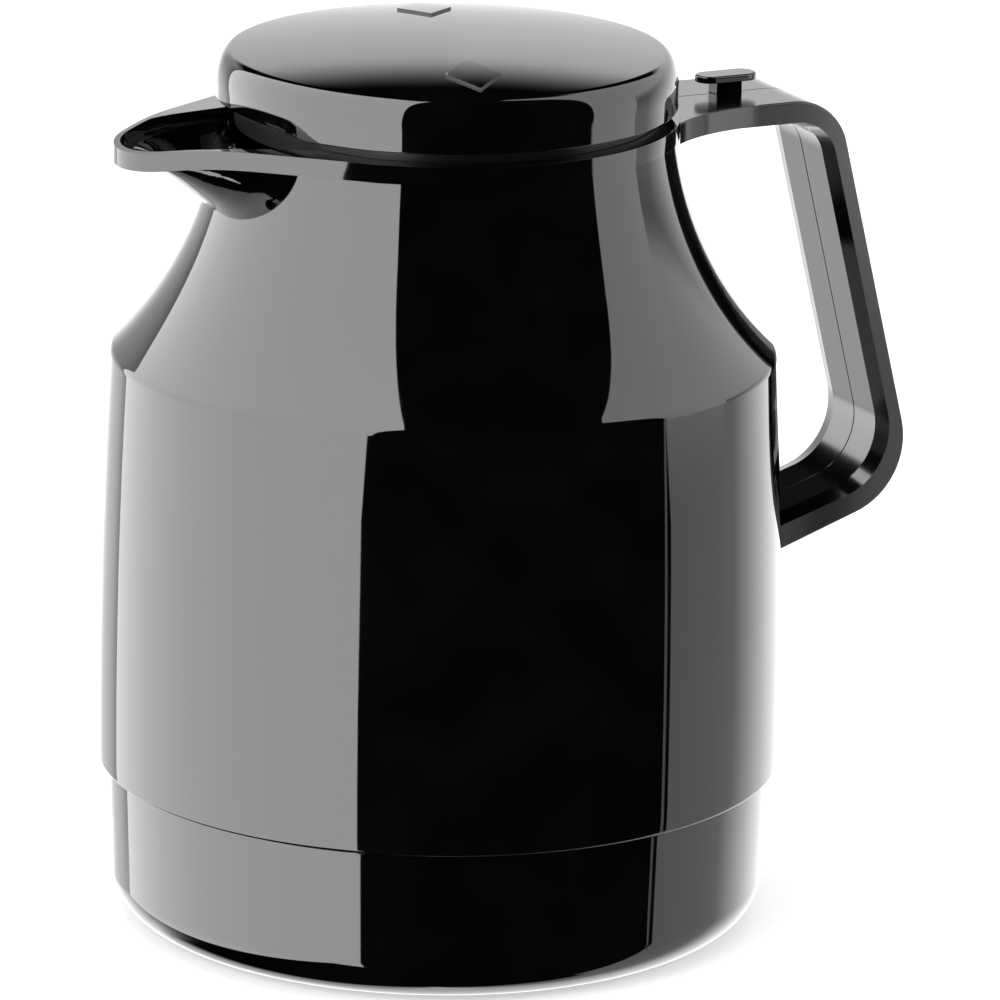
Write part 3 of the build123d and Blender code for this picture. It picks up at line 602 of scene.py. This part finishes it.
bosses = []
for number in range(boss_count):
    put_down()
    around = 2 * pi * number / boss_count
    place = Vector((boss_ring * cos(around), boss_ring * sin(around), boss_middle)) * MM
    bpy.ops.mesh.primitive_cylinder_add(
        vertices=32, radius=boss_radius * MM, depth=boss_height * MM, location=place
    )
    boss = bpy.context.object
    start_picking(boss, "FACE")
    for face in boss.data.polygons:
        face.select = face.normal.z < -0.9
    bpy.ops.object.mode_set(mode="EDIT")
    bpy.ops.mesh.inset(thickness=boss_wall * MM)
    bore = (0.0, 0.0, bore_depth * MM)
    bpy.ops.mesh.extrude_region_move(TRANSFORM_OT_translate={"value": bore})
    put_down()
    bosses.append(boss)

# Two raised diamonds on the dome.
mark_turn = 73.5
mark_reach = 32.7
mark_length = 9.75
mark_width = 6.0
mark_low = Vector((0.0, 0.0, 192.5))
mark_height = 6.0
mark_rise = 0.5
mark_corners = [(-mark_length, 0.0), (0.0, mark_width), (mark_length, 0.0), (0.0, -mark_width)]
skin_foot = (lid_radius + mark_rise, 185.0)
skin = [skin_foot] + dome(-mark_rise) + [(0.0, skin_foot[1]), skin_foot]

lid_top_marks = []
for side in (0.0, 180.0):
    around = radians(mark_turn + side)
    outward = Vector((cos(around), sin(around), 0.0))
    across = Vector((-outward.y, outward.x, 0.0))
    corners = []
    for ahead, aside in mark_corners:
        corners.append(tuple(outward * (mark_reach + ahead) + across * aside + mark_low))
    mark = slab("mark", corners, (0.0, 0.0, mark_height))
    cut(mark, turned("skin", skin, 168), "INTERSECT")
    soften(mark, 0.22, 2, 40.0)
    lid_top_marks.append(mark)

take(lid_shell)
for extra in bosses + lid_top_marks:
    extra.select_set(True)
bpy.ops.object.join()
bpy.ops.object.transform_apply(location=True, rotation=True, scale=True)
finished(lid_shell, "lid", casing_gloss, ["lid_cap"])

# ---------------------------------------------------------------- collar, handle and button

spout_collar = refined("collar", "spout_collar", 0.3)
finished(spout_collar, "jug", casing_gloss, ["collar"])

outer_corners = [(50.2, 177.9), (88.5, 177.9), (110.872, 87.5), (73.0, 74.53)]
inner_corners = [(50.2, 171.95), (85.491, 171.95), (105.386, 91.559), (73.0, 81.41)]
outer_line = line_through(outer_corners, [13.5, 17.0], 16)
inner_line = line_through(inner_corners, [9.0, 14.0], 16)
half_width = 14.3
side_round = 0.5
side_steps = 8
taper_start = 9.8
taper_depth = 1.15

# (y, inset of the outer line, inset of the inner line) of each ring, from the parting line out.
rings = [(0.05, 0.15, 0.15), (0.09, 0.05, 0.05), (0.2, 0.0, 0.0), (taper_start, 0.0, 0.0)]
for number in range(side_steps + 1):
    around = radians(90.0 * number / side_steps)
    y = half_width - side_round + side_round * sin(around)
    taper = taper_depth * (y - taper_start) / (half_width - taper_start)
    rings.append((y, side_round - side_round * cos(around), taper))
strap_rings = []
for y, outer_inset, inner_inset in rings:
    ring = moved_line(outer_line, outer_inset) + moved_line(inner_line, -inner_inset)[::-1]
    ring.append(ring[0])
    strap_rings.append(drawn("ring", [(point.x, y, point.y) for point in ring]))
    bpy.ops.mesh.remove_doubles(threshold=MERGE)
take(strap_rings[0])
for ring in strap_rings[1:]:
    ring.select_set(True)
bpy.ops.object.join()
strap = bpy.context.object
strap.name = "strap"
bpy.ops.object.transform_apply(location=True, rotation=True, scale=True)

levels = [y * MM for y, _, _ in rings]
for low, high in zip(levels, levels[1:]):
    pick_levels(strap, low, high)
    bpy.ops.mesh.bridge_edge_loops()
for level in (levels[0], levels[-1]):
    pick_levels(strap, level, level)
    bpy.ops.mesh.edge_face_add()
tidied()

# The root widens in a tangent arc towards the collar, whose own room is cut away.
flare_start = 69.0
flare_length = 24.3
flare_depth = 9.0
parting = 0.05
plate_low = 173.1
plate_height = 4.8
room_radius = 50.45
flare_radius = (flare_length**2 + flare_depth**2) / (2 * flare_depth)
flare_turn = asin(flare_length / flare_radius) * 180.0 / pi
flare_centre = (flare_start, half_width + flare_radius)
flare = arc(flare_centre, flare_radius, -90.0, -90.0 - flare_turn, 24)
flare_outline = [(flare_start, parting, plate_low)] + [(x, y, plate_low) for x, y in flare]
flare_outline.append((flare_start - flare_length, parting, plate_low))
root_plate = slab("root_plate", flare_outline, (0.0, 0.0, plate_height))
soften(root_plate, 0.3, 4, 60.0)
cut(strap, root_plate, "UNION")
room_outline = [(0.0, 170.0), (room_radius, 170.0), (room_radius, 180.0), (0.0, 180.0)]
cut(strap, turned("root_room", room_outline, 180))

# Room for the rocker, its spring and the button's stem: x from, x to, half width, z from, z to.
# Each cut starts past the parting line, on the other half's side.
cut_start = -1.0
root_cuts = [
    (44.0, 53.6, 3.8, 172.95, 179.6),
    (44.0, 56.0, 3.8, 172.95, 176.9),
    (44.0, 72.4, 3.5, 172.95, 176.9),
    (64.6, 71.2, 2.2, 172.95, 179.0),
]
for start, end, reach, low, high in root_cuts:
    corners = [(start, low), (end, low), (end, high), (start, high)]
    outline = [(x, cut_start, z) for x, z in corners]
    cut(strap, slab("root_cut", outline, (0.0, reach - cut_start, 0.0)))

# The lug that holds the hinge pin.
lug_inside = 50.6
lug_side = 3.8
lug_low = 176.9
lug_width = 1.6
lug_radius = 1.8
pin_place = (51.0, 179.6)
lug_round = arc(pin_place, lug_radius, 0.0, 180.0, 20)
lug_outline = [(lug_inside, lug_side, lug_low), (pin_place[0] + lug_radius, lug_side, lug_low)]
lug_outline += [(x, lug_side, z) for x, z in lug_round if x > lug_inside - 0.05]
lug_outline.append((lug_inside, lug_side, pin_place[1]))
cut(strap, slab("lug", lug_outline, (0.0, lug_width, 0.0)), "UNION")

mirrored_strap = strap.copy()
mirrored_strap.data = strap.data.copy()
bpy.context.scene.collection.objects.link(mirrored_strap)
mirrored_strap.scale.y = -1.0
take(mirrored_strap)
bpy.ops.object.transform_apply(location=True, rotation=True, scale=True)
bpy.ops.object.mode_set(mode="EDIT")
tidied()
put_down()
for half, node_name in ((mirrored_strap, "handle_left"), (strap, "handle_right")):
    half.name = node_name + "_shell"
    finished(half, "jug", handle_gloss, [node_name], 12.0)
thumb_piece = refined("thumb_button", "thumb_piece", 0.2)
finished(thumb_piece, "button", casing_gloss, ["thumb_button"])


# ---------------------------------------------------------------- studio

# A long lens looks down a little, from in front and somewhat to the spout's side.
eye = Vector((-739.1, -1515.4, 571.5)) * MM
gaze = Vector((0.428237, 0.861340, -0.273326))
right = Vector((0.897342, -0.441045, 0.016043))
up = Vector((0.106730, 0.252137, 0.961788))

camera = bpy.data.objects.new("camera", bpy.data.cameras.new("camera"))
bpy.context.scene.collection.objects.link(camera)
camera.data.sensor_width = 36.0
camera.data.lens = 288.0
camera.data.clip_start = 0.1
camera.data.clip_end = 50.0
camera.matrix_world = Matrix(
    (
        (right.x, up.x, -gaze.x, eye.x),
        (right.y, up.y, -gaze.y, eye.y),
        (right.z, up.z, -gaze.z, eye.z),
        (0.0, 0.0, 0.0, 1.0),
    )
)
bpy.context.scene.camera = camera

WHITE = (1.0, 1.0, 1.0, 1.0)
room = bpy.data.worlds.new("studio")
bpy.context.scene.world = room
room.use_nodes = True
sky = Finish(room.node_tree)
direction = sky.node("ShaderNodeTexCoord", output="Generated")


def along(x, y, z):
    """How far a ray's direction goes along a fixed direction."""
    inputs = {0: direction, 1: (x, y, z)}
    return sky.node("ShaderNodeVectorMath", {"operation": "DOT_PRODUCT"}, inputs, output="Value")


# turn: degrees from the camera's side, to the right; rise: degrees above the horizontal.
side_turn = radians(-26.0)
sideways = along(cos(side_turn), sin(side_turn), 0.0)
frontward = along(sin(side_turn), -cos(side_turn), 0.0)
upward = along(0.0, 0.0, 1.0)
turn = sideways.sum("ARCTAN2", sideways, frontward) * (180.0 / pi)
rise = upward.sum("ARCSINE", upward) * (180.0 / pi)

# A pale band that wraps round behind the jug and stands higher on the right.
from_left = sky.step(0.0 - turn, 128.0, 148.0) * (0.65 + 0.35 * sky.step(0.0 - turn, 156.0, 170.0))
from_right = sky.step(turn, 96.0, 150.0)
near_right = sky.step(turn, 96.0, 104.0) * (0.34 + 0.7 * sky.step(rise, 0.0, 12.0))
backdrop = from_left + from_right.sum("MAXIMUM", from_right, near_right)
raised = 36.0 * sky.step(turn, 88.0, 98.0) * (1.0 - sky.step(turn, 128.0, 146.0))
band = (2.05 - 0.85 * sky.step(rise, -14.0, 6.0)) * (1.0 - sky.step(rise - raised, 18.0, 26.0))
backdrop = backdrop * band

# Light from the ground behind the jug, which the rounded foot mirrors.
turned_away = turn.sum("ABSOLUTE", turn)
lower = sky.step(0.0 - rise, 16.0, 22.0) * (1.0 - sky.step(0.0 - rise, 34.0, 44.0))
ground_light = lower * sky.step(turned_away, 105.0, 150.0) * 2.0
reflected = backdrop.sum("MAXIMUM", backdrop, ground_light)

# White to the camera, the band to reflections and an even light to all else.
ambient = 0.62
seen = sky.light_path("Is Camera Ray")
mirrored = sky.light_path("Is Glossy Ray")
pale = seen.sum("MAXIMUM", seen, sky.light_path("Is Transmission Ray"))
strength = pale + (1.0 - pale) * (ambient * (1.0 - mirrored) + mirrored * reflected)
glow = sky.node("ShaderNodeBackground", None, {"Color": WHITE, "Strength": strength})
sky.end(glow, "ShaderNodeOutputWorld")

lamp_aim = Vector((0.0, 0.0, 0.09))


def soft_lamp(name, place, size, power):
    """A square lamp aimed at the jug's middle that reflections don't show."""
    lamp = bpy.data.objects.new(name, bpy.data.lights.new(name, "AREA"))
    bpy.context.scene.collection.objects.link(lamp)
    lamp.data.shape = "SQUARE"
    lamp.data.size = size
    lamp.data.energy = power
    lamp.location = place
    lamp.rotation_euler = (lamp_aim - lamp.location).to_track_quat("-Z", "Y").to_euler()
    lamp.visible_glossy = False


soft_lamp("left_box", (-1.5, -0.5, 1.1), 1.2, 14.0)
soft_lamp("right_box", (1.1, -1.0, 0.9), 0.9, 6.0)
soft_lamp("top_box", (0.1, 0.3, 1.7), 1.2, 10.0)

# Cards are drawn by how far right of the jug's axis, in front of it and up each corner is.
card_right = Vector((0.8974, -0.4411, 0.0))
card_front = Vector((-0.4411, -0.8974, 0.0))


def reflected_card(name, corners, low, high):
    """A glowing card that only reflections show; its level changes from z = 60 to 130 mm."""
    points = [tuple(card_right * u + card_front * v + Vector((0.0, 0.0, z))) for u, v, z in corners]
    card = drawn(name, points)
    bpy.ops.mesh.edge_face_add()
    put_down()
    glow_paint, glow_finish = new_finish(name + "_glow")
    height = glow_finish.node("ShaderNodeSeparateXYZ", None, {0: glow_finish.place()}, output="Z")
    level = low + glow_finish.step(height, 0.06, 0.13) * (high - low)
    glow_finish.end(glow_finish.node("ShaderNodeEmission", None, {"Strength": level}))
    card.data.materials.append(glow_paint)
    card.visible_camera = False
    card.visible_diffuse = False
    card.visible_transmission = False
    card.visible_shadow = False


card_top = 1100
card_low = -400
window_level = 2.9
lip_front = 235
lip_low = -115

left_lip = [(-84, lip_front, card_top), (-84, lip_front, 131), (-98, lip_front, 72)]
left_lip += [(-98, lip_front, 12), (-96, lip_front, lip_low)]
left_lip += [(-150, lip_front, lip_low), (-150, lip_front, card_top)]
reflected_card("left_lip", left_lip, window_level, window_level)
left_wall = [(-150, lip_front, card_top), (-150, lip_front, lip_low)]
left_wall += [(-660, -667, -330), (-660, -667, card_top)]
reflected_card("left_wall", left_wall, window_level, window_level)
right_wall = [(240, 87, card_top), (240, 87, 110), (242, 76, 60), (242, 76, card_low)]
right_wall += [(262, -40, card_low), (262, -40, card_top)]
reflected_card("right_wall", right_wall, 0.68, 1.3)
handle_wall = [(238, 86, 155), (238, 86, -60), (165, 72, -60), (165, 72, 155)]
reflected_card("handle_wall", handle_wall, 0.5, 0.5)

floor_radius = 4.0
floor_gap = 0.0002
put_down()
bpy.ops.mesh.primitive_circle_add(
    vertices=96, radius=floor_radius, fill_type="NGON", location=(0.0, 0.0, -floor_gap)
)
floor = bpy.context.object
floor.name = "floor"
floor_paint, paint = new_finish("floor_paint")
ground = paint.node("ShaderNodeBsdfDiffuse", None, {"Color": (0.86, 0.86, 0.86, 1.0)})
ground_glow = paint.node("ShaderNodeEmission", None, {"Color": WHITE, "Strength": 0.5})
ground_sum = paint.node("ShaderNodeAddShader", None, {0: ground, 1: ground_glow})
clear = paint.node("ShaderNodeBsdfTransparent")
ground_parts = {0: paint.light_path("Is Glossy Ray"), 1: ground_sum, 2: clear}
paint.end(paint.node("ShaderNodeMixShader", None, ground_parts))
floor.data.materials.append(floor_paint)

bpy.context.scene.view_settings.view_transform = "Standard"
